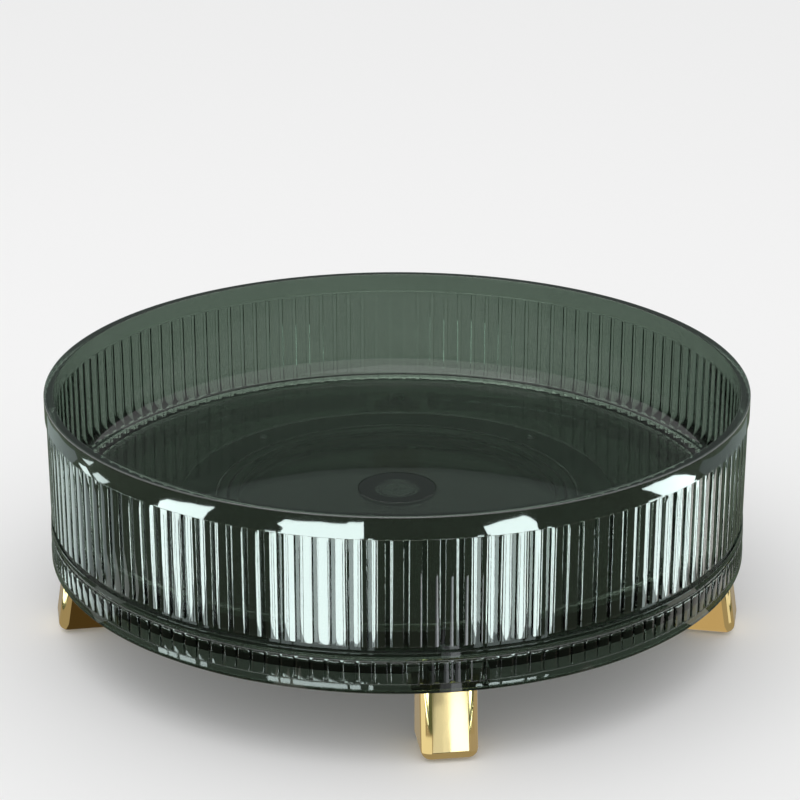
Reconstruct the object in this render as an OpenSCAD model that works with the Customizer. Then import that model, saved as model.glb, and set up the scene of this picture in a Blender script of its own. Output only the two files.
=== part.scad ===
// Round rotating tray for cosmetics, on a fixed ring with four metal legs.
// Millimetres, +Z up. The origin is on the surface that it stands on, under the
// tray's centre, and the front is towards -Y.

/* [Body] */
// Outside diameter of the tray, and of the ring under it
body_d = 300; // [280:1:330]
// Height of the legs, from the surface to the underside of the ring
leg_h = 31; // [28:0.5:45]
// Height of the fixed ring
ring_h = 13.4; // [12.6:0.1:18]
// Height of the tray, from its lower edge to its rim
tray_h = 58.8; // [50:0.1:80]
// Gap between the ring's top edge and the tray's lower edge
seam_gap = 0.8; // [0.6:0.1:1.2]

/* [Tray] */
// Thickness of the tray's wall at the rim
tray_wall = 4; // [3.4:0.1:5]
// Thickness of the tray's floor
tray_floor_t = 3; // [2.8:0.1:4]
// Depth of the skirt that hangs below the tray's floor
tray_skirt_h = 4.8; // [4.6:0.1:6]
// Height of the smooth band under the rim
band_h = 9.4; // [6:0.1:14]
// Height of the plain lip below the ribs
tray_lip_h = 3.8; // [2:0.1:6]
// Radius of the inside corner between the wall and the floor
bowl_fillet = 10; // [6:0.5:14]
// Number of ribs round the tray
tray_ribs = 136; // [120:4:144]
// How far the ribs stand out of the wall between them
tray_rib_depth = 1.1; // [0.6:0.1:1.3]
// How far the ribs' crests lie inside the smooth band
tray_rib_inset = 0.6; // [0.5:0.1:0.8]
// How far the plain lip lies inside the smooth band
tray_lip_inset = 0.4; // [0.1:0.1:0.4]

/* [Ring] */
// Thickness of the ring's skirt
ring_wall = 4; // [3.4:0.1:5]
// Thickness of the deck that closes the ring
deck_t = 3; // [2.8:0.1:4]
// How far the deck's top lies below the ring's top edge
deck_drop = 3; // [2.8:0.1:3.6]
// Height of the plain edge below the ribs
ring_lip_h = 4.2; // [3:0.1:5.5]
// Height of the plain edge above the ribs
ring_top_h = 1.2; // [0.8:0.1:2]
// How far the plain edge above the ribs lies inside the valleys between them
ring_top_inset = 0.1; // [0.1:0.05:0.3]
// Number of ribs round the ring
ring_ribs = 156; // [140:4:160]
// How far the ribs stand out of the skirt between them
ring_rib_depth = 0.9; // [0.5:0.1:1.2]
// How far the ribs' crests lie inside the ring's lower edge
ring_rib_inset = 0.2; // [0.2:0.1:0.5]
// Width of the block that holds a leg
socket_w = 30; // [27:0.5:34]
// Length of that block, with the end that is part of the skirt
socket_l = 27; // [25:0.5:32]
// How far the block's underside lies above the ring's lower edge
socket_lift = 0.4; // [0.2:0.1:0.8]

/* [Legs] */
// Width of a leg
leg_w = 22.6; // [20:0.1:25]
// Length of a leg along the radius, at the surface
leg_l = 21; // [19:0.1:24]
// How far a leg's outer face lies inside the ring's outside, at the surface
leg_foot_inset = 0.6; // [0.2:0.1:2]
// How far a leg's outer face lies inside the ring's skirt, at its top
leg_top_gap = 1.4; // [1:0.1:2.4]
// Radius of a leg's outer upright corners
leg_corner_r = 4.6; // [3:0.1:6]
// Radius of a leg's rounded lower corners, seen from the front
leg_toe_r = 4; // [2:0.1:6]
// Radius of a leg's lower outer edge, seen from the side
leg_heel_r = 3.4; // [2:0.1:5]
// Width of the tenon that plugs into the ring
tenon_w = 15; // [12:0.5:17]
// Length of the tenon along the radius
tenon_l = 9; // [8:0.5:11]
// Height of the tenon
tenon_h = 6; // [4:0.1:6.4]
// Width of a foot pad
pad_w = 14; // [10:0.5:15]
// Length of a foot pad along the radius
pad_l = 11; // [8:0.5:12]
// Thickness of a foot pad
pad_t = 1.2; // [1:0.1:1.6]
// How far a foot pad stands out below its leg
pad_stand = 0.6; // [0.4:0.1:0.8]

/* [Bearing] */
// Diameter of the circle that the ball centres lie on
ball_circle_d = 152; // [130:1:170]
// Number of balls
ball_count = 24; // [16:1:30]
// Diameter of a ball
ball_d = 5; // [4.6:0.1:5.2]
// Thickness of the sheet that the races are pressed from
race_t = 1.2; // [1:0.05:1.3]
// Gap between the two races' flat faces
race_gap = 2.8; // [2.7:0.05:3.2]
// Width of the races inside the ball circle
race_inside_w = 6; // [5.6:0.1:8]
// Width of the races outside the ball circle
race_outside_w = 18; // [17:0.5:24]
// Thickness of the ball cage
cage_t = 1.6; // [1.2:0.1:1.8]
// Width of the ball cage
cage_w = 10; // [9:0.1:10.4]

/* [Pivot] */
// Diameter of the pivot screw's plain shoulder
shoulder_d = 8; // [7:0.5:9]
// Diameter of the pivot screw's thread
pivot_thread_d = 6; // [5:0.5:6]
// Diameter of the pivot screw's head
pivot_head_d = 13; // [12:0.5:14]
// Height of the pivot screw's head
pivot_head_h = 1.6; // [1.4:0.1:1.8]
// Diameter of the tray's hub
hub_d = 30; // [26:1:36]
// Diameter of the boss in the middle of the deck
boss_d = 26; // [22:1:30]
// Height of that boss above the deck
boss_rise = 2; // [1.8:0.1:2.2]
// Outside diameter of the bush's sleeve
bush_d = 11; // [10.6:0.1:12]
// Diameter of the bush's flange
bush_flange_d = 16; // [14:0.5:20]
// Thickness of the bush's flange
bush_flange_t = 1.2; // [0.8:0.1:1.2]
// Diameter of the recess for the screw head in the tray's floor
recess_d = 20; // [19:0.5:22]
// Depth of that recess
recess_depth = 4.2; // [4:0.1:4.6]
// Outside diameter of the threaded insert
insert_d = 9; // [8.6:0.1:10]
// Length of the threaded insert
insert_l = 8; // [6:0.5:8]
// Diameter of the centre cap
cap_d = 34; // [28:1:40]
// Thickness of the centre cap
cap_t = 1.4; // [1.2:0.1:1.4]

/* [Hidden] */
// Azimuth of each leg in degrees, from the front towards +X
leg_azimuths = [8, 79, 180, -80];
leg_count = len(leg_azimuths);

// Clearances: a running fit, a seated part, a ball in its groove and in its pocket
run_gap = 0.04;
seat_gap = 0.05;
groove_gap = 0.25;
pocket_gap = 0.2;
face_gap = 0.1;
pad_side_gap = 0.2;
// Overrun of every cut past the face that it opens
over = 1;

// Heights of the main faces above the surface
ring_top = leg_h + ring_h;
deck_top = ring_top - deck_drop;
deck_under = deck_top - deck_t;
tray_z = ring_top + seam_gap;
rim_z = tray_z + tray_h;
floor_under = tray_z + tray_skirt_h;
floor_top = floor_under + tray_floor_t;
ball_z = (deck_top + floor_under) / 2;
socket_z = leg_h + socket_lift;

// Radii of the shells
body_r = body_d / 2;
bowl_r = body_r - tray_wall;
skirt_r = body_r - ring_wall;

// Shape of a rib: points along it, and how blunt its section is
rib_points = 5;
rib_blunt_share = 0.6;

// Fixing screws of the legs and the races: shank, head, recess and depth
leg_screw_d = 4;
leg_screw_l = 14;
leg_screw_head_d = 7.5;
leg_screw_head_h = 2.4;
leg_screw_key = 2.5;
leg_screw_key_depth = 1.4;
leg_screw_hole_gap = 0.15;
leg_screw_end_gap = 1;
race_screw_d = 3;
race_screw_l = 5;
race_screw_head_d = 6;
race_screw_head_h = 1;
race_screw_slot_w = 0.8;
race_screw_slot_depth = 0.5;
race_screw_end_gap = 0.4;
race_screw_count = 4;
race_screw_turn = 45;

// Bearing: the seats under the races and the grooves that the balls run in
ball_r = ball_d / 2;
ball_circle_r = ball_circle_d / 2;
groove_r = ball_r + groove_gap;
race_in_r = ball_circle_r - race_inside_w;
race_out_r = ball_circle_r + race_outside_w;
race_face_z = race_gap / 2;
seat_edge = 1;
seat_face_z = race_face_z + race_t;
race_screw_r = (ball_circle_r + groove_r + race_t + race_out_r) / 2;

// Pivot: what stacks up along the screw, from the boss to the cap
boss_top = deck_top + boss_rise;
boss_low = boss_top - insert_l - over;
washer_t = tray_z - bush_flange_t - boss_top - face_gap;
recess_z = floor_top - recess_depth;
head_washer_t = 0.8;
head_washer_d = 18;
head_washer_hole_gap = 0.3;
head_z = recess_z + head_washer_t + face_gap;
head_top = head_z + pivot_head_h;
thread_l = 7;
thread_gap = 0.05;
pivot_key = 4;
pivot_key_depth = 1;
cap_wall = 2;
cap_lift = 0.5;
cap_gap = 0.15;
cap_bevel = 0.3;
cap_z = floor_top - cap_t;

// A leg's faces, its lean, and the middle of its tenon, screw and pad
leg_foot_r = body_r - leg_foot_inset;
leg_top_r = skirt_r - leg_top_gap;
leg_inner_r = leg_foot_r - leg_l;
lean = atan((leg_foot_r - leg_top_r) / leg_h);
tenon_r = (leg_inner_r + leg_top_r) / 2;
tenon_corner_r = 1.5;
tenon_gap = 0.1;
tenon_top_gap = 0.2;
socket_corner_r = 2;
socket_root_share = 0.5;
pad_corner_r = 2.5;
pad_r = (leg_inner_r + leg_foot_r - leg_heel_r) / 2;

$fn = 96;
round_fn = 240;

// Turns its children from the front to one of the legs
module at_leg(i) rotate([0, 0, leg_azimuths[i]]) children();

// Repeats its children at each race screw
module at_race_screws()
    for (i = [0 : race_screw_count - 1])
        rotate([0, 0, race_screw_turn + i * 360 / race_screw_count])
            translate([race_screw_r, 0, 0]) children();

// Flips its children from the lower race to the upper one
module upside() translate([0, 0, ball_z]) mirror([0, 0, 1]) children();
module upright() translate([0, 0, ball_z]) children();

// Outline of a ribbed wall: each rib is a blunt arch between two valleys
function rib_rise(i) = pow(sin(180 * (i % rib_points) / rib_points), rib_blunt_share);
function ribbed(count, crest_r, depth) =
    [for (i = [0 : count * rib_points - 1])
        let (a = i * 360 / (count * rib_points), r = crest_r - depth + depth * rib_rise(i))
        [r * cos(a), r * sin(a)]];

// Rectangle with four round corners, centred
module round_rect(w, l, r) {
    square([w - 2 * r, l], center = true);
    square([w, l - 2 * r], center = true);
    for (x = [-1, 1], y = [-1, 1])
        translate([x * (w / 2 - r), y * (l / 2 - r)]) circle(r = r);
}

// Ring with a rectangular section
module ring(inner_r, outer_r, low, high)
    translate([0, 0, low]) difference() {
        cylinder(r = outer_r, h = high - low, $fn = round_fn);
        translate([0, 0, -over]) cylinder(r = inner_r, h = high - low + 2 * over, $fn = round_fn);
    }

// Ring with a round section, on the circle of the balls
module ball_ring(r) rotate_extrude($fn = round_fn) translate([ball_circle_r, 0]) circle(r = r);

// Raised seat of a race, with room for the pressed groove
module race_seat(root_z)
    difference() {
        ring(race_in_r - seat_edge, race_out_r + seat_edge, -root_z, -seat_face_z);
        ball_ring(groove_r + race_t + face_gap);
    }

// Holes for the race screws, below the races' outer faces
module race_screw_holes()
    at_race_screws()
        translate([0, 0, -race_face_z - race_screw_l - race_screw_end_gap])
            cylinder(d = race_screw_d + 2 * seat_gap, h = race_screw_l + race_screw_end_gap);

// One race, seen from the balls: a flat sheet with a groove pressed into it
module race()
    difference() {
        union() {
            ring(race_in_r, race_out_r, -seat_face_z, -race_face_z);
            intersection() {
                ball_ring(groove_r + race_t);
                ring(race_in_r, race_out_r, -groove_r - race_t - over, -race_face_z);
            }
        }
        ball_ring(groove_r);
        at_race_screws() translate([0, 0, -seat_face_z - over])
            cylinder(d = race_screw_d + 2 * seat_gap, h = race_t + 2 * over);
    }

// Screws that hold a race: a low slotted head on its flat face
module race_screws()
    at_race_screws() translate([0, 0, -race_face_z]) difference() {
        union() {
            translate([0, 0, -race_screw_l]) cylinder(d = race_screw_d, h = race_screw_l);
            cylinder(d = race_screw_head_d, h = race_screw_head_h);
        }
        translate([-race_screw_head_d, -race_screw_slot_w / 2,
                   race_screw_head_h - race_screw_slot_depth])
            cube([2 * race_screw_head_d, race_screw_slot_w, race_screw_slot_depth + over]);
    }

// Fixed ring: ribbed skirt, deck, four leg sockets, race seat and pivot boss
module base_ring()
    color("darkslategray") difference() {
        union() {
            difference() {
                union() {
                    translate([0, 0, leg_h]) cylinder(r = body_r, h = ring_lip_h, $fn = round_fn);
                    translate([0, 0, leg_h + ring_lip_h])
                        linear_extrude(height = ring_h - ring_lip_h - ring_top_h)
                            polygon(ribbed(ring_ribs, body_r - ring_rib_inset, ring_rib_depth));
                    translate([0, 0, ring_top - ring_top_h])
                        cylinder(r = body_r - ring_rib_inset - ring_rib_depth - ring_top_inset,
                                 h = ring_top_h, $fn = round_fn);
                }
                translate([0, 0, leg_h - over])
                    cylinder(r = skirt_r, h = deck_under - leg_h + over, $fn = round_fn);
                translate([0, 0, deck_top])
                    cylinder(r = skirt_r, h = deck_drop + over, $fn = round_fn);
            }
            for (i = [0 : leg_count - 1]) at_leg(i)
                translate([0, socket_l / 2 - skirt_r - ring_wall * socket_root_share, socket_z])
                    linear_extrude(height = deck_under - socket_z + deck_t / 2)
                        round_rect(socket_w, socket_l, socket_corner_r);
            translate([0, 0, boss_low]) cylinder(d = boss_d, h = boss_top - boss_low);
            upright() race_seat(ball_z - deck_top + deck_t / 2);
        }
        for (i = [0 : leg_count - 1]) at_leg(i) {
            translate([0, -tenon_r, socket_z - over])
                linear_extrude(height = tenon_h + tenon_top_gap + over)
                    round_rect(tenon_w + 2 * tenon_gap, tenon_l + 2 * tenon_gap,
                               tenon_corner_r + tenon_gap);
            translate([0, -tenon_r, leg_h])
                cylinder(d = leg_screw_d + 2 * leg_screw_hole_gap, h = ring_h);
        }
        translate([0, 0, boss_low - over]) cylinder(d = pivot_thread_d + over, h = ring_h);
        translate([0, 0, boss_top - insert_l])
            cylinder(d = insert_d + 2 * seat_gap, h = insert_l + over);
        upright() race_screw_holes();
    }

// Side view of a leg, with the radius along -Y and its lower outer edge rounded
module leg_side() {
    heel_z = pad_stand + leg_heel_r;
    heel_y = -leg_foot_r + heel_z * tan(lean) + leg_heel_r / cos(lean);
    polygon([[heel_y - leg_heel_r * cos(lean), heel_z + leg_heel_r * sin(lean)],
             [socket_z * tan(lean) - leg_foot_r, socket_z], [-leg_inner_r, socket_z],
             [-leg_inner_r, pad_stand], [heel_y, pad_stand], [heel_y, heel_z]]);
    translate([heel_y, heel_z]) circle(r = leg_heel_r);
}

// Front view of a leg, with its two lower corners rounded
module leg_front() {
    translate([-leg_w / 2, pad_stand + leg_toe_r])
        square([leg_w, socket_z - pad_stand - leg_toe_r]);
    translate([-leg_w / 2 + leg_toe_r, pad_stand])
        square([leg_w - 2 * leg_toe_r, socket_z - pad_stand]);
    for (x = [-1, 1])
        translate([x * (leg_w / 2 - leg_toe_r), pad_stand + leg_toe_r]) circle(r = leg_toe_r);
}

// Plan of a leg, measured inwards from its outer face, with its outer corners rounded
module leg_plan() {
    depth = leg_foot_r - leg_inner_r + leg_h;
    translate([-leg_w / 2, leg_corner_r]) square([leg_w, depth]);
    translate([-leg_w / 2 + leg_corner_r, 0]) square([leg_w - 2 * leg_corner_r, depth]);
    for (x = [-1, 1]) translate([x * (leg_w / 2 - leg_corner_r), leg_corner_r])
        circle(r = leg_corner_r);
}

// Cast metal leg: a wedge that leans outwards, with a tenon and a tapped hole on top
module leg(i)
    color("goldenrod") at_leg(i) difference() {
        union() {
            intersection() {
                translate([-leg_w, 0, 0]) rotate([90, 0, 90])
                    linear_extrude(height = 2 * leg_w) leg_side();
                rotate([90, 0, 0]) linear_extrude(height = body_r) leg_front();
                translate([0, -leg_foot_r, 0]) rotate([-lean, 0, 0]) translate([0, 0, -leg_h])
                    linear_extrude(height = 3 * leg_h) leg_plan();
            }
            translate([0, -tenon_r, socket_z - over])
                linear_extrude(height = tenon_h + over)
                    round_rect(tenon_w, tenon_l, tenon_corner_r);
        }
        translate([0, -tenon_r, deck_top - leg_screw_l - leg_screw_end_gap])
            cylinder(d = leg_screw_d + 2 * seat_gap, h = leg_screw_l);
        translate([0, -pad_r, 0])
            linear_extrude(height = pad_t)
                round_rect(pad_w + 2 * pad_side_gap, pad_l + 2 * pad_side_gap,
                           pad_corner_r + pad_side_gap);
    }

// Soft pad let into the underside of a leg
module leg_pad(i)
    color("gainsboro") at_leg(i) translate([0, -pad_r, 0])
        linear_extrude(height = pad_t) round_rect(pad_w, pad_l, pad_corner_r);

module leg_1() leg(0);
module leg_2() leg(1);
module leg_3() leg(2);
module leg_4() leg(3);
module leg_pad_1() leg_pad(0);
module leg_pad_2() leg_pad(1);
module leg_pad_3() leg_pad(2);
module leg_pad_4() leg_pad(3);

// Screws from the top of the deck down into the legs
module leg_screws()
    color("silver") for (i = [0 : leg_count - 1]) at_leg(i)
        translate([0, -tenon_r, deck_top]) difference() {
            union() {
                translate([0, 0, -leg_screw_l]) cylinder(d = leg_screw_d, h = leg_screw_l);
                cylinder(d = leg_screw_head_d, h = leg_screw_head_h);
            }
            translate([0, 0, leg_screw_head_h - leg_screw_key_depth])
                cylinder(d = leg_screw_key / cos(30), h = leg_screw_key_depth + over, $fn = 6);
        }

module lower_race() color("lightgray") upright() race();
module upper_race() color("lightgray") upside() race();
module lower_race_screws() color("silver") upright() race_screws();
module upper_race_screws() color("silver") upside() race_screws();

// Flat moulded cage that keeps the balls apart
module ball_cage()
    color("ivory") upright() difference() {
        ring(ball_circle_r - cage_w / 2, ball_circle_r + cage_w / 2, -cage_t / 2, cage_t / 2);
        for (i = [0 : ball_count - 1]) rotate([0, 0, i * 360 / ball_count])
            translate([ball_circle_r, 0, -cage_t]) cylinder(r = ball_r + pocket_gap, h = 2 * cage_t);
    }

module bearing_balls()
    color("silver") upright() for (i = [0 : ball_count - 1])
        rotate([0, 0, i * 360 / ball_count]) translate([ball_circle_r, 0, 0]) sphere(r = ball_r);

// Threaded insert, flush with the top of the boss
module pivot_insert()
    color("gold") translate([0, 0, boss_top - insert_l]) difference() {
        cylinder(d = insert_d, h = insert_l);
        translate([0, 0, -over])
            cylinder(d = pivot_thread_d + 2 * thread_gap, h = insert_l + 2 * over);
    }

// Shoulder screw that the tray turns on
module pivot_screw()
    color("silver") difference() {
        union() {
            translate([0, 0, boss_top - thread_l]) cylinder(d = pivot_thread_d, h = thread_l);
            translate([0, 0, boss_top]) cylinder(d = shoulder_d, h = head_z - boss_top);
            translate([0, 0, head_z]) cylinder(d = pivot_head_d, h = pivot_head_h);
        }
        translate([0, 0, head_top - pivot_key_depth])
            cylinder(d = pivot_key / cos(30), h = pivot_key_depth + over, $fn = 6);
    }

// Washer on the boss, under the bush's flange
module thrust_washer()
    color("silver")
        ring(shoulder_d / 2 + pocket_gap, bush_flange_d / 2, boss_top, boss_top + washer_t);

// Flanged bush, pushed into the hub from below
module pivot_bush()
    color("white") difference() {
        union() {
            translate([0, 0, tray_z - bush_flange_t]) cylinder(d = bush_flange_d, h = bush_flange_t);
            translate([0, 0, tray_z - bush_flange_t / 2])
                cylinder(d = bush_d, h = recess_z - tray_z + bush_flange_t / 2);
        }
        translate([0, 0, tray_z - bush_flange_t - over])
            cylinder(d = shoulder_d + 2 * run_gap, h = tray_skirt_h + tray_floor_t + 2 * over);
    }

// Washer in the recess, under the pivot screw's head
module head_washer()
    color("silver")
        ring(shoulder_d / 2 + head_washer_hole_gap, head_washer_d / 2,
             recess_z, recess_z + head_washer_t);

// Inside of the tray, with a round corner between the wall and the floor
module bowl_space() {
    translate([0, 0, floor_top + bowl_fillet])
        cylinder(r = bowl_r, h = tray_h, $fn = round_fn);
    translate([0, 0, floor_top])
        cylinder(r = bowl_r - bowl_fillet, h = tray_h, $fn = round_fn);
    translate([0, 0, floor_top + bowl_fillet]) rotate_extrude($fn = round_fn)
        translate([bowl_r - bowl_fillet, 0]) circle(r = bowl_fillet);
}

// Rotating tray: ribbed wall with a smooth band, floor, hub and race seat
module tray()
    color("darkslategray") difference() {
        union() {
            difference() {
                union() {
                    translate([0, 0, tray_z])
                        cylinder(r = body_r - tray_lip_inset, h = tray_lip_h, $fn = round_fn);
                    translate([0, 0, tray_z + tray_lip_h])
                        linear_extrude(height = tray_h - tray_lip_h - band_h)
                            polygon(ribbed(tray_ribs, body_r - tray_rib_inset, tray_rib_depth));
                    translate([0, 0, rim_z - band_h])
                        cylinder(r = body_r, h = band_h, $fn = round_fn);
                }
                bowl_space();
                translate([0, 0, tray_z - over])
                    cylinder(r = bowl_r, h = tray_skirt_h + over, $fn = round_fn);
            }
            translate([0, 0, tray_z]) cylinder(d = hub_d, h = tray_skirt_h + tray_floor_t / 2);
            upside() race_seat(floor_under - ball_z + tray_floor_t / 2);
        }
        translate([0, 0, tray_z - over])
            cylinder(d = bush_d + 2 * seat_gap, h = tray_skirt_h + tray_floor_t + 2 * over);
        translate([0, 0, recess_z]) cylinder(d = recess_d, h = recess_depth + over);
        translate([0, 0, cap_z]) cylinder(d = cap_d + 2 * cap_gap, h = cap_t + over);
        upside() race_screw_holes();
    }

// Flat cap, flush with the tray's floor, that snaps into the recess over the screw
module centre_cap() {
    spigot_r = recess_d / 2 - seat_gap;
    spigot_low = recess_z + head_washer_t + pocket_gap;
    color("darkslategray") difference() {
        union() {
            translate([0, 0, cap_z]) cylinder(d = cap_d, h = cap_t - cap_bevel);
            translate([0, 0, floor_top - cap_bevel])
                cylinder(d1 = cap_d, d2 = cap_d - 2 * cap_bevel, h = cap_bevel);
            translate([0, 0, spigot_low]) cylinder(r = spigot_r, h = floor_top - cap_bevel - spigot_low);
        }
        translate([0, 0, spigot_low - over])
            cylinder(r = spigot_r - cap_wall, h = head_top + cap_lift - spigot_low + over);
    }
}

base_ring();
leg_1();
leg_2();
leg_3();
leg_4();
leg_pad_1();
leg_pad_2();
leg_pad_3();
leg_pad_4();
leg_screws();
lower_race();
lower_race_screws();
ball_cage();
bearing_balls();
upper_race();
upper_race_screws();
pivot_insert();
pivot_screw();
thrust_washer();
pivot_bush();
head_washer();
tray();
centre_cap();
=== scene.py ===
from math import cos, pi, radians, sin

import bmesh
import bpy
from mathutils import Matrix, Vector


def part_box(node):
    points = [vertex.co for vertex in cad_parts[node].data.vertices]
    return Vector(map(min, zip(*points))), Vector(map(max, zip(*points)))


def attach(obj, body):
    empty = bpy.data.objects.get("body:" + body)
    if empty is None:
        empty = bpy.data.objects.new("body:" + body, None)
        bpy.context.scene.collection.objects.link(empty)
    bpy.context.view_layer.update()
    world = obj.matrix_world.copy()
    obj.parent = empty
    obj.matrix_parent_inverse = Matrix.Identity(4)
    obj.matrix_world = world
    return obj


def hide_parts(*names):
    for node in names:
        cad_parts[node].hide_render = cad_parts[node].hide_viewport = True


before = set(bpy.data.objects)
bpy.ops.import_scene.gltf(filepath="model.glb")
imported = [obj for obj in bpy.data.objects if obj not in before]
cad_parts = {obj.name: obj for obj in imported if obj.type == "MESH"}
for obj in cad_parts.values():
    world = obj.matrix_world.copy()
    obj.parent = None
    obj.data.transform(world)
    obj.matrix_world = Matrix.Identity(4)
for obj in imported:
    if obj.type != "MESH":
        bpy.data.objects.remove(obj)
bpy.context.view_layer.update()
MM = 0.001


# The camera stands one metre from the middle of the rim, straight in front of
# the tray and 20 degrees above it, with the long lens that the photograph has.
VIEW_DISTANCE = 1.0
VIEW_HEIGHT_ANGLE = radians(20.11)
LENS_MM, SENSOR_MM = 105.08, 36
SHIFT = (0.003625, -0.02825)

rim_centre = Vector((0, 0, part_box("tray")[1].z))
towards_camera = Vector((0, -cos(VIEW_HEIGHT_ANGLE), sin(VIEW_HEIGHT_ANGLE)))
lens = bpy.data.cameras.new("camera")
lens.lens, lens.sensor_width = LENS_MM, SENSOR_MM
lens.shift_x, lens.shift_y = SHIFT
lens.clip_start = 0.01
camera = bpy.data.objects.new("camera", lens)
camera.location = rim_centre + VIEW_DISTANCE * towards_camera
camera.rotation_euler = towards_camera.to_track_quat("Z", "Y").to_euler()
bpy.context.scene.collection.objects.link(camera)
bpy.context.scene.camera = camera
bpy.context.scene.view_settings.view_transform = "Standard"


class Wire:
    """An output of a shader node. Arithmetic on it adds Math nodes to its tree."""

    def __init__(self, tree, socket=None):
        self.tree, self.socket = tree, socket

    def node(self, kind, settings=None, inputs=None, out=0):
        """Adds a node, sets its settings and then its inputs, and returns one of its outputs."""
        new = self.tree.nodes.new("ShaderNode" + kind)
        for name, value in (settings or {}).items():
            if name == "stops":
                ramp = new.color_ramp.elements
                for k, (place, colour) in enumerate(value):
                    stop = ramp[k] if k < len(ramp) else ramp.new(place)
                    stop.position, stop.color = place, (*colour, 1)
            else:
                setattr(new, name, value)
        for name, value in (inputs or {}).items():
            if isinstance(value, Wire):
                self.tree.links.new(value.socket, new.inputs[name])
            else:
                new.inputs[name].default_value = value
        return Wire(self.tree, new.outputs[out])

    def maths(self, operation, first, second=0.0):
        return self.node("Math", {"operation": operation}, {0: first, 1: second})

    def __add__(self, other):
        return self.maths("ADD", self, other)

    __radd__ = __add__

    def __sub__(self, other):
        return self.maths("SUBTRACT", self, other)

    def __rsub__(self, other):
        return self.maths("SUBTRACT", other, self)

    def __mul__(self, other):
        return self.maths("MULTIPLY", self, other)

    __rmul__ = __mul__

    def __gt__(self, other):
        return self.maths("GREATER_THAN", self, other)

    def looked_at(self):
        """One for what the camera sees, directly or in metal and clear plastic, and zero for other light."""
        kinds = ("Is Camera Ray", "Is Glossy Ray", "Is Transmission Ray")
        camera_ray, glossy_ray, through_ray = [self.node("LightPath", out=kind) for kind in kinds]
        return self.maths("MINIMUM", camera_ray + glossy_ray + through_ray, 1.0)

    def blend(self, first, second):
        """Mixes two colours by this wire. Either may be a wire itself."""
        ends = [end if isinstance(end, Wire) else (*end, 1) for end in (first, second)]
        return self.node("Mix", {"data_type": "RGBA"}, {"Factor": self, "A": ends[0], "B": ends[1]}, out=2)

    def to(self, node, name):
        """Links the wire to an input of a node that is already there."""
        self.tree.links.new(self.socket, node.inputs[name])


# The floor is a plain pale sheet. What the camera, metal and clear plastic see
# of it is lifted towards white, and the tray's shadow stays on it.
FLOOR_SIZE = 12
FLOOR_COLOUR = (0.88, 0.88, 0.88)
FLOOR_LIFT = 0.08

bpy.ops.object.select_all(action="DESELECT")
bpy.ops.mesh.primitive_plane_add(size=FLOOR_SIZE)
floor = bpy.context.object
floor.name = "floor"
floor_paint = bpy.data.materials.new("floor_paint")
floor_paint.use_nodes = True
tree = floor_paint.node_tree
tree.nodes.clear()
start = Wire(tree)
sheen = start.node("BsdfDiffuse", inputs={"Color": (*FLOOR_COLOUR, 1)})
white = start.node("Emission", inputs={"Color": (1, 1, 1, 1), "Strength": 1})
seen = start.looked_at()
lifted = start.node("MixShader", inputs={0: seen * FLOOR_LIFT, 1: sheen, 2: white})
lifted.to(tree.nodes.new("ShaderNodeOutputMaterial"), "Surface")
floor.data.materials.append(floor_paint)

# The room is a plain soft white, and white where the camera looks past the floor.
ROOM_LIGHT = 0.92

world = bpy.data.worlds.new("room")
bpy.context.scene.world = world
world.use_nodes = True
tree = world.node_tree
tree.nodes.clear()
start = Wire(tree)
seen = start.looked_at()
room = start.node("Background", inputs={"Color": (1, 1, 1, 1), "Strength": ROOM_LIGHT + seen * (1 - ROOM_LIGHT)})
room.to(tree.nodes.new("ShaderNodeOutputWorld"), "Surface")

# A wide soft box hangs over the tray, a little to the front and left.
BOX_PLACE = (-0.18, -0.3, 1.25)
BOX_SIZE = (1.1, 0.9)
BOX_BRIGHTNESS = 0.9

lamp = bpy.data.lights.new("soft_box", "AREA")
lamp.shape = "RECTANGLE"
lamp.size, lamp.size_y = BOX_SIZE
lamp.energy = BOX_BRIGHTNESS * pi * BOX_SIZE[0] * BOX_SIZE[1]
box = bpy.data.objects.new("soft_box", lamp)
box.location = BOX_PLACE
box.rotation_euler = (box.location - rim_centre).to_track_quat("Z", "Y").to_euler()
box.visible_camera = False
bpy.context.scene.collection.objects.link(box)

# Bright cards lie low round the tray, and only reflections show them. An upright
# wall that is seen from above mirrors what lies before it, so each card is laid
# where the camera sees it mirrored.
WALL_R = 149.4
CARD_LEVEL = 1.5
CARD_TINT = (0.84, 1.0, 0.97)
SIDE_TINT = (1.0, 1.0, 0.94)
PANE_POINTS = 9
CUT_FROM = 50.2
CUT_GLOW = 0.28
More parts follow.
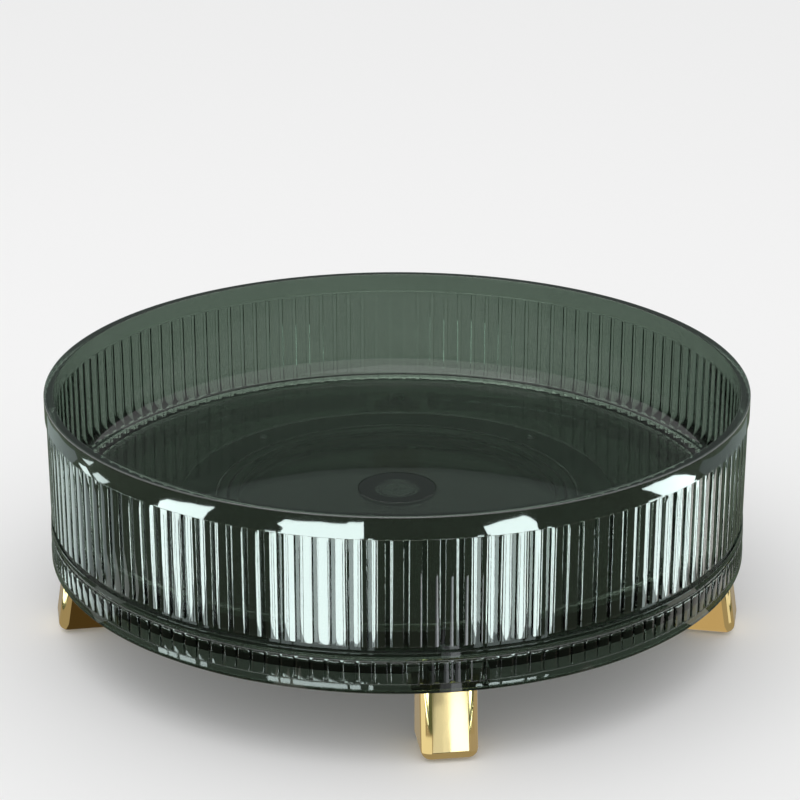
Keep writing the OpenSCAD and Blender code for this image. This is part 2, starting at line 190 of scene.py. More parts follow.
# A card's panes are azimuths on the wall. Then come the heights on the wall of its
# near edge and of its far edge, left and right, how far its corners are cut off at
# the near edge and how round, its strength and its colour.
FRONT_LEFT = [(-19.2, -17.5), (-17.2, -15.7), (-15.3, -7.2), (-6.8, -5.3), (-4.1, -3.5)]
FRONT_RIGHT = [(11.5, 12.4), (13.4, 15.0), (15.4, 18.8), (19.3, 20.7), (22.0, 22.7)]
LEFT = [(-38.4, -36.6), (-36.3, -34.7), (-34.2, -31.3), (-30.4, -29.2)]
RIGHT = [(40, 43.5), (44.2, 46.8), (47.4, 48.9), (49.7, 51.6)]
PANE_CARDS = {
    "front_left": (FRONT_LEFT, 47.6, (94.5, 94.5), (7, 3), 7.8, CARD_TINT),
    "front_left_foot": (FRONT_LEFT, 32.5, (35.7, 35.7), None, 9, CARD_TINT),
    "front_right": (FRONT_RIGHT, 47.6, (94.5, 94.5), (10, 1.6), 7.7, CARD_TINT),
    "front_right_foot": (FRONT_RIGHT, 32.5, (34.3, 33.8), None, 9, CARD_TINT),
    "left": (LEFT, 47.6, (94.5, 94.5), (20, 1.3), 7, CARD_TINT),
    "left_foot": (LEFT, 32.5, (35.7, 35.7), None, 7, CARD_TINT),
    "right": (RIGHT, 47.6, (95, 95), (13, 1.5), 5.5, CARD_TINT),
    "far_left": ([(-68, -57.5)], 47.5, (94, 94), None, 1.1, CARD_TINT),
    "far_left_inner": ([(-57.5, -50)], 52, (92, 90), None, 0.5, CARD_TINT),
    "far_left_foot": ([(-66, -49.5)], 35.8, (44, 44), None, 3, CARD_TINT),
    "far_right": ([(52.6, 54.4), (55, 56.2), (57.4, 58.8)], 49, (94, 94), (9, 1.4), 1.9, SIDE_TINT),
    "far_right_foot": ([(44, 66)], 35.8, (44, 44), None, 0.9, SIDE_TINT),
}
# The cards that the plain band mirrors are cut to other shapes, given by the
# azimuth and height on the wall of each corner, and then their strength.
BAND_CARDS = {
    "left_band": ([(-37.5, 94.6), (-37.1, 97.5), (-35.5, 99.8), (-31.3, 101), (-27, 102), (-28.3, 98.5),
                   (-29.1, 94.6)], 7.2),
    "front_left_band": ([(-16.8, 94.6), (-16.4, 97), (-17.3, 98.8), (-16, 101.5), (-11, 102), (-7.2, 101.8),
                         (-6.8, 102.8), (-4.7, 103), (-4.7, 94.6)], 7.7),
    "front_right_band": ([(13, 94.6), (12.3, 99), (15, 101.2), (18.3, 102.4), (19.2, 101), (20.3, 98.2),
                          (20.5, 94.6)], 7.7),
    "right_band": ([(43.3, 94.8), (40.3, 99.8), (38.3, 102.5), (41.4, 103.2), (45.4, 103.2), (48.3, 100.8),
                    (51.2, 97.2), (50.8, 94.8)], 6),
    "shard_low": ([(-57.4, 97.5), (-54.9, 98), (-53.1, 94.6), (-55.5, 94.6)], 3.2),
    "shard_high": ([(-56.1, 101.2), (-52.2, 103), (-53.8, 99.8)], 2.6),
    "shard_right": ([(-53, 96.5), (-51.3, 98.8), (-48.1, 97.2), (-50.1, 94.6), (-51.6, 94.6)], 3),
    "far_left_band": ([(-74, 94.6), (-74, 103), (-66, 103), (-58.6, 102.2), (-57.6, 99), (-60, 94.6)], 0.34),
    "far_right_band": ([(54, 94.8), (52, 99), (53, 103), (64, 103), (74, 103), (74, 94.8), (64, 94.8)], 0.24),
}


def heading(azimuth):
    """The level direction from the tray's axis to an azimuth, which is measured from the front to the right."""
    return Vector((sin(radians(azimuth)), -cos(radians(azimuth)), 0))


def mirrored(spot, outwards):
    """The point at the cards' level that the camera sees mirrored at a spot of a surface that faces outwards."""
    ray = (spot - camera.location).reflect(outwards)
    return spot + ray * (CARD_LEVEL * MM - spot.z) / ray.z


def in_wall(azimuth, height):
    """The point that the camera sees mirrored in the wall at an azimuth and height."""
    return mirrored(WALL_R * MM * heading(azimuth) + Vector((0, 0, height * MM)), heading(azimuth))


def studio_card(name, outlines, colour, strength):
    """A flat card that only reflections show, in one or more pieces."""
    bpy.ops.object.select_all(action="DESELECT")
    bpy.ops.mesh.primitive_plane_add(size=MM)
    card = bpy.context.object
    card.name = name
    bpy.ops.object.mode_set(mode="EDIT")
    bpy.ops.mesh.delete(type="VERT")
    shape = bmesh.from_edit_mesh(card.data)
    for outline in outlines:
        shape.faces.new([shape.verts.new(point) for point in outline])
    bmesh.update_edit_mesh(card.data)
    bpy.ops.object.mode_set(mode="OBJECT")
    paint = bpy.data.materials.new(name)
    paint.use_nodes = True
    paint.node_tree.nodes.clear()
    glow = Wire(paint.node_tree).node("Emission", inputs={"Color": (*colour, 1), "Strength": strength})
    glow.to(paint.node_tree.nodes.new("ShaderNodeOutputMaterial"), "Surface")
    card.data.materials.append(paint)
    card.visible_camera = card.visible_diffuse = card.visible_transmission = card.visible_shadow = False


def hang(name, outlines, colour, strength):
    """Lays a card, and for the front ones a second card opposite, for the view from behind."""
    studio_card(name, outlines, colour, strength)
    if name.startswith("front"):
        half_turn = Matrix.Rotation(pi, 3, "Z")
        opposite = [[half_turn @ point for point in outline] for outline in outlines]
        studio_card(name.replace("front", "back"), opposite, colour, strength)


def spread(first, last, count):
    """Evenly spaced numbers from the first to the last."""
    return [first + (last - first) * k / (count - 1) for k in range(count)]


for name, (panes, foot, (left_top, right_top), cut, strength, colour) in PANE_CARDS.items():
    left, right = panes[0][0], panes[-1][1]
    outlines, glows = [], []
    for first, last in panes:
        azimuths = spread(first, last, PANE_POINTS)
        across = [(azimuth - left) / (right - left) for azimuth in azimuths]
        feet = [CUT_FROM + cut[0] * abs(2 * t - 1) ** cut[1] if cut else foot for t in across]
        near_edge = [in_wall(*corner) for corner in zip(azimuths, feet)]
        far_edge = [in_wall(azimuth, left_top + (right_top - left_top) * t) for azimuth, t in zip(azimuths, across)]
        outlines.append(near_edge + far_edge[::-1])
        glows.append([in_wall(azimuth, foot) for azimuth in azimuths] + near_edge[::-1])
    hang(name, outlines, colour, strength)
    if cut:
        # Below the cut, the card goes on at a lower strength.
        hang(name + "_glow", glows, colour, strength * CUT_GLOW)
for name, (corners, strength) in BAND_CARDS.items():
    hang(name, [[in_wall(*corner) for corner in corners]], CARD_TINT, strength)

# The polished legs mirror cards of their own, which lie a little lower than the
# others.
FRONT_LEG, RIGHT_LEG, BACK_LEG, LEFT_LEG = 8, 79, 180, -80
LEG_WIDTH, LEG_SIDE = 22.6, 4.3
LEG_FOOT_R, LEG_HIGH = 149.4, 31.4
LEG_LEAN = 0.158
LEG_FACE = (149.5, LEG_LEAN)
LEG_FLANK = (LEG_WIDTH / 2, 0)
LEG_CARD_DROP = Vector((0, 0, 0.3 * MM))
LEG_TINT = (0.91, 0.96, 1)
# Each is given by the azimuth that the leg's face looks to, the face's distance
# from the tray's axis and how far it leans, a place across and up it for each side
# of the card, and the card's strength and colour.
LEG_CARDS = {
    "front_leg_white": (FRONT_LEG, LEG_FACE, (0, 7.4), (5, LEG_HIGH), 2.7, LEG_TINT),
    "front_leg_cream": (FRONT_LEG, LEG_FACE, (-3, 0), (4, LEG_HIGH), 1, LEG_TINT),
    "front_leg_gold": (FRONT_LEG, LEG_FACE, (-7.4, -3), (4, 24), 0.85, LEG_TINT),
    "front_leg_corner": (FRONT_LEG, LEG_FACE, (-7.4, -3), (24, LEG_HIGH), 0.5, LEG_TINT),
    "right_leg_side": (RIGHT_LEG - 90, LEG_FLANK, (128, 146), (0, LEG_HIGH), 0.55, (1, 0.81, 0.56)),
    "left_leg_side": (LEFT_LEG + 90, LEG_FLANK, (-146, -128), (0, LEG_HIGH), 0.068, (1, 0.7, 0.32)),
}
for name, (azimuth, (distance, lean), (left, right), (foot, top), strength, colour) in LEG_CARDS.items():
    across, ahead = heading(azimuth + 90), heading(azimuth)
    facing = (ahead + Vector((0, 0, lean))).normalized()
    corners = [(left, foot), (right, foot), (right, top), (left, top)]
    spots = [MM * (u * across + (distance - lean * z) * ahead + Vector((0, 0, z))) for u, z in corners]
    studio_card(name, [[mirrored(spot, facing) - LEG_CARD_DROP for spot in spots]], colour, strength)

# The round upright corners of the legs mirror cards too. Each is given by the
# leg's azimuth, the side that its corner is on, how far round the corner and how
# far up it the card is seen, and the card's strength and colour.
CORNER_POINTS = 7
CORNER_CARDS = {
    "front_leg_left_round": (FRONT_LEG, -1, (37, 68), (3, LEG_HIGH), 0.9, (1, 0.98, 0.86)),
    "front_leg_left_foot": (FRONT_LEG, -1, (4, 37), (3, 11), 0.9, (1, 0.98, 0.86)),
    "front_leg_right_round": (FRONT_LEG, 1, (32, 80), (3, LEG_HIGH), 0.4, (1, 0.9, 0.8)),
    "front_leg_right_foot": (FRONT_LEG, 1, (4, 32), (3, 11), 0.4, (1, 0.9, 0.8)),
    "right_leg_round": (RIGHT_LEG, -1, (42, 58), (6, LEG_HIGH), 0.85, (1, 0.97, 0.88)),
    "left_leg_round": (LEFT_LEG, 1, (42, 58), (14, LEG_HIGH), 0.6, (0.9, 1, 0.92)),
}
for name, (azimuth, side, (first, last), (foot, top), strength, colour) in CORNER_CARDS.items():
    across, ahead = side * heading(azimuth + 90), heading(azimuth)
    facing = (ahead + Vector((0, 0, LEG_LEAN))).normalized()
    turns = spread(radians(first), radians(last), CORNER_POINTS)
    outline = []
    for turn, height in [(turn, foot) for turn in turns] + [(turn, top) for turn in turns[::-1]]:
        outwards = cos(turn) * facing + sin(turn) * across
        middle = (LEG_WIDTH / 2 - LEG_SIDE) * across + (LEG_FOOT_R - LEG_SIDE - LEG_LEAN * height) * ahead
        spot = MM * (middle + LEG_SIDE * outwards + Vector((0, 0, height)))
        outline.append(mirrored(spot, outwards) - LEG_CARD_DROP)
    studio_card(name, [outline], colour, strength)

# A pale warm card lies close round the legs, up to where the ring's foot would
# begin to mirror it.
NEAR_CARD_COLOUR = (0.36, 0.32, 0.25)
NEAR_CARD_FROM, NEAR_CARD_STEP = 76, 4
NEAR_CARD_EDGE, NEAR_CARD_BACK_R = 30.6, 166
NEAR_CARD_DROP = 1.5 * LEG_CARD_DROP
in_front = range(-NEAR_CARD_FROM, NEAR_CARD_FROM + 1, NEAR_CARD_STEP)
behind = range(NEAR_CARD_FROM + NEAR_CARD_STEP, 360 - NEAR_CARD_FROM, NEAR_CARD_STEP)
near_card = [in_wall(azimuth, NEAR_CARD_EDGE) - NEAR_CARD_DROP for azimuth in in_front]
near_card += [NEAR_CARD_BACK_R * MM * heading(azimuth) + Vector((0, 0, CARD_LEVEL * MM)) - NEAR_CARD_DROP
              for azimuth in behind]
studio_card("near_card", [near_card], NEAR_CARD_COLOUR, 1)

# A dark flag round the tray, under the cards, and one behind it are there for
# reflections alone, and keep the smoky plastic deep.
FLAG_R, FLAG_LEVEL, FLAG_CORNERS = 1000, 0.8, 96
FLAG_COLOUR = (0.095, 0.12, 0.085)
BACK_FLAG_HALF, BACK_FLAG_PLACE, BACK_FLAG_FOOT, BACK_FLAG_TOP = 0.7, 0.9, 0.15, 0.9
BACK_FLAG_COLOUR = (0.2, 0.24, 0.22)
turns = [2 * pi * k / FLAG_CORNERS for k in range(FLAG_CORNERS)]
flag = [(FLAG_R * MM * cos(turn), FLAG_R * MM * sin(turn), FLAG_LEVEL * MM) for turn in turns]
studio_card("flag", [flag], FLAG_COLOUR, 1)
back_flag = [(side * BACK_FLAG_HALF, BACK_FLAG_PLACE, height) for side, height in
             [(-1, BACK_FLAG_FOOT), (1, BACK_FLAG_FOOT), (1, BACK_FLAG_TOP), (-1, BACK_FLAG_TOP)]]
studio_card("back_flag", [back_flag], BACK_FLAG_COLOUR, 1)


# The fixed ring is moulded in smoky green clear plastic. Its skirt has upright
# ribs above a plain edge, and its deck carries the bearing. Blocks on the
# inside of the skirt take the legs, and a boss in the middle takes the pivot.
LEG_AZIMUTHS = {"leg_1": FRONT_LEG, "leg_2": RIGHT_LEG, "leg_3": BACK_LEG, "leg_4": LEFT_LEG}
RING_RIBS = 156
TURN_STEPS = 312
RING_SECTION = [
    (150, 31, 0.5), (150, 35.2, 0.3), (148.9, 35.2, 0), (148.9, 43.2, 0), (148.8, 43.2, 0), (148.8, 44.4, 0.4),
    (146, 44.4, 0.4), (146, 41.4, 0), (95, 41.4, 0), (95, 43.1, 0.3), (79.1, 43.1, 0), (79.1, 41.65, 1.4),
    (72.9, 41.65, 1.4), (72.9, 43.1, 0), (69, 43.1, 0.3), (69, 41.4, 0), (13, 41.4, 0), (13, 43.4, 0.3),
    (4.55, 43.4, 0), (4.55, 35.4, 0), (3.5, 35.4, 0), (3.5, 34.4, 0), (13, 34.4, 0), (13, 38.4, 0),
    (146, 38.4, 0), (146, 31, 0.4),
]
RING_RIB = dict(low=34.8, high=44, inner=148, crest=149.8, width=5.2, arc=19, shoulder=0.4, end=1.8, top=1.2)
SOCKET = dict(width=30, inner=121, outer=148, low=31.4, high=39.4, corner=2)
SOCKET_POCKET = dict(width=15.2, inner=131.9, outer=141.1, low=30, high=37.6, corner=1.6)
LEG_SCREW_R = 136.5
DECK_HOLE = dict(radius=2.15, low=30, high=50, place=LEG_SCREW_R)
FLAT_ON = 0.9


def edit(piece):
    """Opens a piece alone in edit mode."""
    if bpy.context.mode != "OBJECT":
        bpy.ops.object.mode_set(mode="OBJECT")
    bpy.ops.object.select_all(action="DESELECT")
    piece.select_set(True)
    bpy.context.view_layer.objects.active = piece
    bpy.ops.object.mode_set(mode="EDIT")
    bpy.ops.mesh.select_mode(type="VERT")


def pick(mode, wanted):
    """Selects the corners, edges or faces of the open piece that a test accepts."""
    bpy.ops.mesh.select_mode(type=mode)
    bpy.ops.mesh.select_all(action="DESELECT")
    shape = bmesh.from_edit_mesh(bpy.context.object.data)
    for part in {"VERT": shape.verts, "EDGE": shape.edges, "FACE": shape.faces}[mode]:
        if wanted(part):
            part.select_set(True)
    shape.select_flush_mode()
    bmesh.update_edit_mesh(bpy.context.object.data)


def near(value, target, slack=0.02 * MM):
    return abs(value - target) < slack


def lies(edge, axis, place):
    """Whether both ends of an edge lie at a place, given in millimetres, along an axis."""
    return all(near(corner.co[axis], place * MM) for corner in edge.verts)


def closed_shell():
    """Merges the open piece's doubles and turns its faces outwards."""
    bpy.ops.mesh.select_all(action="SELECT")
    bpy.ops.mesh.remove_doubles(threshold=2e-6)
    bpy.ops.mesh.normals_make_consistent(inside=False)
    bpy.ops.object.mode_set(mode="OBJECT")


def turned(name, section, closed=True, rounding_steps=4):
    """A turned piece, from the (radius, height, rounding) of each corner of its section."""
    bpy.ops.object.select_all(action="DESELECT")
    bpy.ops.mesh.primitive_plane_add(size=MM, location=(section[0][0] * MM, 0, section[0][1] * MM))
    piece = bpy.context.object
    piece.name = name
    bpy.ops.object.transform_apply()
    edit(piece)
    bpy.ops.mesh.select_all(action="SELECT")
    bpy.ops.mesh.merge(type="CENTER")
    route = section + section[:1] if closed else section
    for (r0, z0, _), (r1, z1, _) in zip(route, route[1:]):
        bpy.ops.mesh.extrude_vertices_move(TRANSFORM_OT_translate={"value": ((r1 - r0) * MM, 0, (z1 - z0) * MM)})
    bpy.ops.mesh.select_all(action="SELECT")
    bpy.ops.mesh.remove_doubles(threshold=1e-6)
    for r, z, rounding in section:
        if rounding:
            pick("VERT", lambda corner: near(corner.co.x, r * MM) and near(corner.co.z, z * MM))
            bpy.ops.mesh.bevel(offset=rounding * MM, segments=rounding_steps, affect="VERTICES")
    bpy.ops.mesh.select_all(action="SELECT")
    bpy.ops.mesh.spin(steps=TURN_STEPS, angle=2 * pi, center=(0, 0, 0), axis=(0, 0, 1))
    closed_shell()
    return piece


def rib_row(count, low, high, inner, crest, width, arc, shoulder, end, top=0):
    """A row of upright ribs: each is a slice of a wide cylinder, with soft edges and round ends."""
    bpy.ops.object.select_all(action="DESELECT")
    bpy.ops.mesh.primitive_cylinder_add(
        vertices=150, radius=arc * MM, depth=(high - low) * MM,
        location=((crest - arc) * MM, 0, (high + low) / 2 * MM))
    row = bpy.context.object
    bpy.ops.object.transform_apply()
    edit(row)
    for place, normal in [((inner * MM, 0, 0), (-1, 0, 0)), ((0, width / 2 * MM, 0), (0, 1, 0)),
                          ((0, -width / 2 * MM, 0), (0, -1, 0))]:
        bpy.ops.mesh.select_all(action="SELECT")
        bpy.ops.mesh.bisect(plane_co=place, plane_no=normal, use_fill=True, clear_outer=True)
    for level, rounding in [(low, end), (high, top)]:
        if rounding:
            pick("EDGE", lambda edge: lies(edge, 2, level) and (lies(edge, 1, width / 2)
                                                                or lies(edge, 1, -width / 2)))
            bpy.ops.mesh.bevel(offset=rounding * MM, segments=4, affect="EDGES")

    def outline(edge):
        """Edges between the rib's front and its sides or ends."""
        fronts = [face.normal.x > FLAT_ON for face in edge.link_faces]
        return len(fronts) == 2 and fronts[0] != fronts[1] and (top or not lies(edge, 2, high))
    pick("EDGE", outline)
    bpy.ops.mesh.bevel(offset=shoulder * MM, segments=2, affect="EDGES")
    bpy.ops.mesh.select_all(action="SELECT")
    bpy.ops.mesh.spin(
        steps=count - 1, dupli=True, angle=2 * pi * (count - 1) / count, center=(0, 0, 0), axis=(0, 0, 1))
    bpy.ops.mesh.select_all(action="SELECT")
    bpy.ops.mesh.normals_make_consistent(inside=False)
    bpy.ops.object.mode_set(mode="OBJECT")
    return row


def block(width, inner, outer, low, high, corner):
    """An upright block across the front radius, with round upright corners."""
    bpy.ops.object.select_all(action="DESELECT")
    bpy.ops.mesh.primitive_cube_add(
        size=MM, location=(0, -(inner + outer) / 2 * MM, (low + high) / 2 * MM),
        scale=(width, outer - inner, high - low))
    made = bpy.context.object
    bpy.ops.object.transform_apply()
    edit(made)
    pick("EDGE", lambda edge: abs(edge.verts[0].co.z - edge.verts[1].co.z) > (high - low) / 2 * MM)
    bpy.ops.mesh.bevel(offset=corner * MM, segments=4, affect="EDGES")
    bpy.ops.object.mode_set(mode="OBJECT")
    return made


def drill(radius, low, high, place=0.0):
    """A round cutter on the front radius."""
    bpy.ops.object.select_all(action="DESELECT")
    bpy.ops.mesh.primitive_cylinder_add(
        vertices=48, radius=radius * MM, depth=(high - low) * MM, location=(0, -place * MM, (low + high) / 2 * MM))
    bpy.ops.object.transform_apply()
    return bpy.context.object


def turn_to(azimuth, piece):
    """Turns a piece about the tray's axis, from the front to an azimuth."""
    piece.data.transform(Matrix.Rotation(radians(azimuth), 4, "Z"))
    return piece


def fuse(piece, tool, operation="UNION"):
    """Joins a tool's shape to a piece, or cuts it out, and removes the tool."""
    step = piece.modifiers.new("fuse", "BOOLEAN")
    step.operation, step.solver, step.object = operation, "MANIFOLD", tool
    bpy.ops.object.select_all(action="DESELECT")
    piece.select_set(True)
    bpy.context.view_layer.objects.active = piece
    bpy.ops.object.modifier_apply(modifier=step.name)
    bpy.data.objects.remove(tool)


def finish(piece, material, angle=28):
    """Gives a piece its material and smooth shading, with crisp edges past an angle in degrees."""
    piece.data.materials.clear()
    piece.data.materials.append(material)
    bpy.ops.object.select_all(action="DESELECT")
    piece.select_set(True)
    bpy.context.view_layer.objects.active = piece
    bpy.ops.object.shade_smooth_by_angle(angle=radians(angle))
    even = piece.modifiers.new("even_shading", "WEIGHTED_NORMAL")
    even.keep_sharp = True
    bpy.ops.object.modifier_apply(modifier=even.name)


# The plastic is clear and smoky green, with a faint ripple from the mould.
SMOKE_TINT, SMOKE_TINT_DEEP = (0.115, 0.157, 0.122), (0.095, 0.134, 0.103)
SMOKE_ROUGHNESS, HANDLED_ROUGHNESS = 0.02, 0.035
CREST_FROM, CREST_FOOT = 149.05, 50
RIB_TOPS_FROM, RIB_TOPS_FOOT, RIB_TOPS_HEAD = 148.6, 43.4, 44.6


def new_material(name):
    """A material, its shader and a wire to start its nodes from."""
    material = bpy.data.materials.new(name)
    material.use_nodes = True
    return material, material.node_tree.nodes["Principled BSDF"], Wire(material.node_tree)


smoky_plastic, shader, start = new_material("smoky_green_plastic")
shader.inputs["Transmission Weight"].default_value = 1
shader.inputs["IOR"].default_value = 1.5
place = start.node("TexCoord", out="Object")
flow = start.node("TexNoise", inputs={"Vector": place, "Scale": 14, "Detail": 3, "Distortion": 0.6})
flow.blend(SMOKE_TINT_DEEP, SMOKE_TINT).to(shader, "Base Color")
handling = start.node("TexNoise", inputs={"Vector": place, "Scale": 55, "Detail": 4})
(SMOKE_ROUGHNESS + HANDLED_ROUGHNESS * handling).to(shader, "Roughness")
ripple = start.node("TexNoise", inputs={"Vector": place, "Scale": 90, "Detail": 1})
start.node("Bump", inputs={"Strength": 0.03, "Distance": 0.4 * MM, "Height": ripple}).to(shader, "Normal")
# The mould is polished most where it forms the rib crests and the plain band.
shader.inputs["Coat IOR"].default_value = 1.8
shader.inputs["Coat Roughness"].default_value = 0.02
flat_place = start.node("VectorMath", {"operation": "MULTIPLY"}, {0: place, 1: (1, 1, 0)})
radius = start.node("VectorMath", {"operation": "LENGTH"}, {0: flat_place}, out=1)
height = start.node("SeparateXYZ", inputs={0: place}, out=2)
crests = (radius > CREST_FROM * MM) * (height > CREST_FOOT * MM)
rib_tops = (radius > RIB_TOPS_FROM * MM) * ((height > RIB_TOPS_FOOT * MM) - (height > RIB_TOPS_HEAD * MM))
(crests + rib_tops).to(shader, "Coat Weight")

ring = turned("fixed_ring", RING_SECTION)
fuse(ring, rib_row(RING_RIBS, **RING_RIB))
for azimuth in LEG_AZIMUTHS.values():
    fuse(ring, turn_to(azimuth, block(**SOCKET)))
for azimuth in LEG_AZIMUTHS.values():
    fuse(ring, turn_to(azimuth, block(**SOCKET_POCKET)), "DIFFERENCE")
    fuse(ring, turn_to(azimuth, drill(**DECK_HOLE)), "DIFFERENCE")
finish(ring, smoky_plastic)
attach(ring, "base")
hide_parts("base_ring")


# Each leg is a solid wedge of cast metal with polished gold plating. It leans
# outwards, and a tenon on its top plugs into a block of the ring. The tenon's dark grey is painted shade for the
# socket it sits in.
LEG_TOP_R, LEG_INNER_R = 144.54, 128.4
LEG_LOW, TENON_HIGH = 0.6, 37.4
LEG_TOE, LEG_EDGE = 4, 0.6
TENON_STEP = 3.7
LEG_BORE = dict(radius=2.05, low=26.4, high=60, place=LEG_SCREW_R)
GOLD_DEEP, GOLD_BRIGHT = (0.86, 0.67, 0.31), (0.93, 0.75, 0.38)
GOLD_ROUGHNESS, WORN_ROUGHNESS = 0.05, 0.06
# The tenon's dark grey is painted shade: it stands in for the dark inside the ring's socket.
TENON_SHADE_COLOUR, TENON_ROUGHNESS = (0.2, 0.2, 0.2), 0.5
GOLD_ENDS = LEG_HIGH + 0.05

gold, shader, start = new_material("polished_gold")
shader.inputs["Metallic"].default_value = 1
place = start.node("TexCoord", out="Object")
cloud = start.node("TexNoise", inputs={"Vector": place, "Scale": 40, "Detail": 2})
plating = cloud.blend(GOLD_DEEP, GOLD_BRIGHT)
height = start.node("SeparateXYZ", inputs={0: place}, out=2)
# Above the gold, the tenon takes the dark grey of painted shade, and a rougher finish.
tenon_zone = height > GOLD_ENDS * MM
tenon_zone.blend(plating, TENON_SHADE_COLOUR).to(shader, "Base Color")
wear = start.node("TexNoise", inputs={"Vector": place, "Scale": 130, "Detail": 5})
(GOLD_ROUGHNESS + WORN_ROUGHNESS * wear + TENON_ROUGHNESS * tenon_zone).to(shader, "Roughness")
start.node("Bump", inputs={"Strength": 0.06, "Distance": 0.1 * MM, "Height": wear}).to(shader, "Normal")

bpy.ops.object.select_all(action="DESELECT")
bpy.ops.mesh.primitive_cube_add(
    size=MM, location=(0, -(LEG_FOOT_R + LEG_INNER_R) / 2 * MM, (LEG_LOW + LEG_HIGH) / 2 * MM),
    scale=(LEG_WIDTH, LEG_FOOT_R - LEG_INNER_R, LEG_HIGH - LEG_LOW))
pattern_leg = bpy.context.object
bpy.ops.object.transform_apply()
edit(pattern_leg)
pick("EDGE", lambda edge: lies(edge, 1, -LEG_FOOT_R) and lies(edge, 2, LEG_HIGH))
bpy.ops.transform.translate(value=(0, (LEG_FOOT_R - LEG_TOP_R) * MM, 0))
pick("EDGE", lambda edge: lies(edge, 2, LEG_LOW) and (lies(edge, 0, LEG_WIDTH / 2)
                                                      or lies(edge, 0, -LEG_WIDTH / 2)))
bpy.ops.mesh.bevel(offset=LEG_TOE * MM, segments=6, affect="EDGES")


def outer_outline(edge):
    """Edges round the leg's outer face, without the one under the ring."""
    outer = [face.normal.y < -FLAT_ON for face in edge.link_faces]
    return outer[0] != outer[1] and not lies(edge, 2, LEG_HIGH)


pick("EDGE", outer_outline)
bpy.ops.mesh.bevel(offset=LEG_SIDE * MM, segments=8, affect="EDGES")
pick("EDGE", lambda edge: lies(edge, 1, -LEG_INNER_R) and not lies(edge, 2, LEG_HIGH))
bpy.ops.mesh.bevel(offset=LEG_EDGE * MM, segments=2, affect="EDGES")
pick("FACE", lambda face: face.normal.z > FLAT_ON)
bpy.ops.mesh.inset(thickness=TENON_STEP * MM)
bpy.ops.mesh.extrude_region_move(TRANSFORM_OT_translate={"value": (0, 0, (TENON_HIGH - LEG_HIGH) * MM)})
closed_shell()

PAD_POCKET = dict(width=14.4, inner=131.5, outer=142.9, low=-1, high=1.2, corner=2.7)
fuse(pattern_leg, block(**PAD_POCKET), "DIFFERENCE")
fuse(pattern_leg, drill(**LEG_BORE), "DIFFERENCE")
finish(pattern_leg, gold, 32)
for node, azimuth in LEG_AZIMUTHS.items():
    leg = bpy.data.objects.new("gold_" + node, pattern_leg.data.copy())
    bpy.context.scene.collection.objects.link(leg)
    turn_to(azimuth, leg)
    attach(leg, "base")
    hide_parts(node)
bpy.data.objects.remove(pattern_leg)


# A thin pad of soft translucent silicone is let into the underside of each leg,
# and stands a little proud of it, so that the gold touches nothing.
PAD = dict(width=14, inner=131.7, outer=142.7, low=0, high=1.2, corner=2.5)
PAD_EDGE = 0.3
SILICONE_SCATTER, SILICONE_DEPTH = 0.2, (0.002, 0.002, 0.002)


def grained(name, pattern, dark, light, roughness, bump=None, metallic=0):
    """A material whose colour and roughness follow one pattern. The pattern is a kind of node, its settings and
    its inputs, the roughness a least value and what the pattern adds, and the bump a strength and a depth."""
    material, shader, start = new_material(name)
    shader.inputs["Metallic"].default_value = metallic
    kind, settings, inputs = pattern
    grain = start.node(kind, settings, {"Vector": start.node("TexCoord", out="Object"), **inputs})
    grain.blend(dark, light).to(shader, "Base Color")
    (roughness[0] + roughness[1] * grain).to(shader, "Roughness")
    if bump:
        strength, depth = bump
        height = start.node("Bump", inputs={"Strength": strength, "Distance": depth * MM, "Height": grain})
        height.to(shader, "Normal")
    return material


silicone = grained("foot_silicone", ("TexNoise", {}, {"Scale": 900, "Detail": 3}),
                   (0.7, 0.7, 0.67), (0.82, 0.82, 0.79), (0.5, 0.2), bump=(0.2, 0.05))
shader = silicone.node_tree.nodes["Principled BSDF"]
shader.inputs["Subsurface Weight"].default_value = SILICONE_SCATTER
shader.inputs["Subsurface Radius"].default_value = SILICONE_DEPTH

for node, azimuth in LEG_AZIMUTHS.items():
    pad = block(**PAD)
    edit(pad)
    pick("EDGE", lambda edge: lies(edge, 2, PAD["low"]))
    bpy.ops.mesh.bevel(offset=PAD_EDGE * MM, segments=2, affect="EDGES")
    bpy.ops.object.mode_set(mode="OBJECT")
    finish(pad, silicone)
    turn_to(azimuth, pad)
    pad.name = node.replace("leg", "foot_pad")
    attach(pad, "base")
    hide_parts(node.replace("leg", "leg_pad"))


# The bearing is the usual one of a turntable: two rings of zinc-plated sheet,
# pressed to a groove, and steel balls between them in a nylon cage.
def dress(material, *nodes):
    """Gives CAD nodes a material."""
    for node in nodes:
        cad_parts[node].data.materials.clear()
        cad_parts[node].data.materials.append(material)


dress(grained("zinc_sheet", ("TexVoronoi", {}, {"Scale": 260}),
              (0.55, 0.57, 0.58), (0.72, 0.73, 0.74), (0.26, 0.3), metallic=1), "lower_race", "upper_race")
dress(grained("ball_steel", ("TexNoise", {}, {"Scale": 300, "Detail": 2}),
              (0.68, 0.69, 0.71), (0.8, 0.8, 0.81), (0.06, 0.1), metallic=1), "bearing_balls")
dress(grained("cage_nylon", ("TexNoise", {}, {"Scale": 160, "Detail": 3}),
              (0.74, 0.72, 0.64), (0.84, 0.82, 0.75), (0.4, 0.15), bump=(0.1, 0.05)), "ball_cage")

# Zinc-plated steel screws hold the lower race to the deck and the upper race to
# the tray's floor, and one goes down through the deck into each leg.
screw_steel = grained("screw_steel", ("TexNoise", {}, {"Scale": 420, "Detail": 4}),
                      (0.5, 0.51, 0.53), (0.68, 0.69, 0.7), (0.2, 0.15), metallic=1)
dress(screw_steel, "leg_screws", "lower_race_screws", "upper_race_screws")

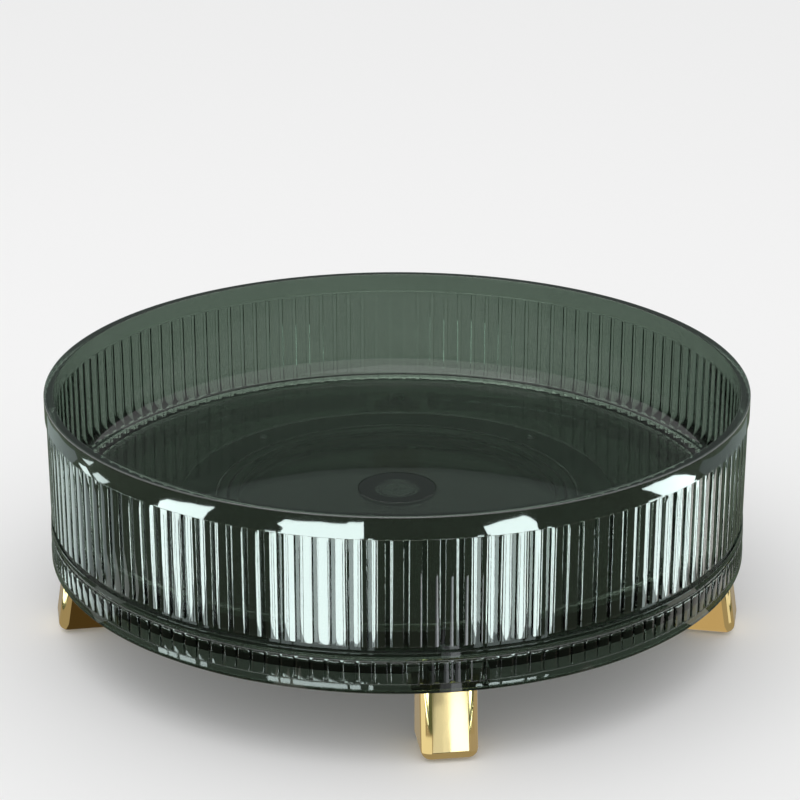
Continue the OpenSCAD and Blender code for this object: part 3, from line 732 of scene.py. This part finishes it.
# The pivot is a shoulder screw in a brass insert, with a steel washer at each
# end of an acetal bush. It holds the tray down and lets it turn.
dress(screw_steel, "pivot_screw", "thrust_washer", "head_washer")
dress(grained("insert_brass", ("TexWave", {"bands_direction": "Z"}, {"Scale": 900, "Distortion": 1}),
              (0.62, 0.46, 0.2), (0.74, 0.57, 0.28), (0.22, 0.12), metallic=1), "pivot_insert")
dress(grained("bush_acetal", ("TexNoise", {}, {"Scale": 240, "Detail": 2}),
              (0.8, 0.8, 0.77), (0.88, 0.88, 0.86), (0.28, 0.1)), "pivot_bush")


# The tray turns on the bearing. It is one moulding of the same smoky plastic: a
# round bowl whose wall has upright ribs with round feet, under a plain band.
TRAY_RIBS = 136
TRAY_SECTION = [
    (149.6, 45.2, 0.5), (149.6, 47.9, 0.12), (148.3, 47.9, 0), (148.3, 94.6, 0), (150, 94.6, 0.3), (150, 104, 0.4),
    (146, 104, 0.4), (146, 53, 10), (10, 53, 0.3), (10, 48.8, 0), (5.55, 48.8, 0), (5.55, 45.2, 0), (15, 45.2, 0.5),
    (15, 50, 0), (69, 50, 0), (69, 48.3, 0.3), (72.9, 48.3, 0), (72.9, 49.75, 1.4), (79.1, 49.75, 1.4),
    (79.1, 48.3, 0), (95, 48.3, 0.3), (95, 50, 0), (146, 50, 0), (146, 45.2, 0.5),
]
CAP_SEAT = dict(radius=17.15, low=51.6, high=60)
TRAY_RIB = dict(low=50.3, high=95, inner=147.6, crest=149.4, width=5, arc=17.5, shoulder=0.15, end=2.45)

tray = turned("ribbed_tray", TRAY_SECTION)
fuse(tray, rib_row(TRAY_RIBS, **TRAY_RIB))
fuse(tray, drill(**CAP_SEAT), "DIFFERENCE")
finish(tray, smoky_plastic)
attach(tray, "tray")
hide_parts("tray")


# A flat cap of the same plastic snaps into a round seat in the tray's floor, flush
# with it, and covers the pivot screw.
CAP_SECTION = [
    (0, 53, 0), (17, 53, 0.3), (17, 51.6, 0.2), (9.95, 51.6, 0), (9.95, 49.8, 0.2), (7.95, 49.8, 0.2),
    (7.95, 51.8, 0), (0, 51.8, 0),
]

cap = turned("centre_cap_cover", CAP_SECTION, closed=False)
finish(cap, smoky_plastic)
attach(cap, "tray")
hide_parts("centre_cap")
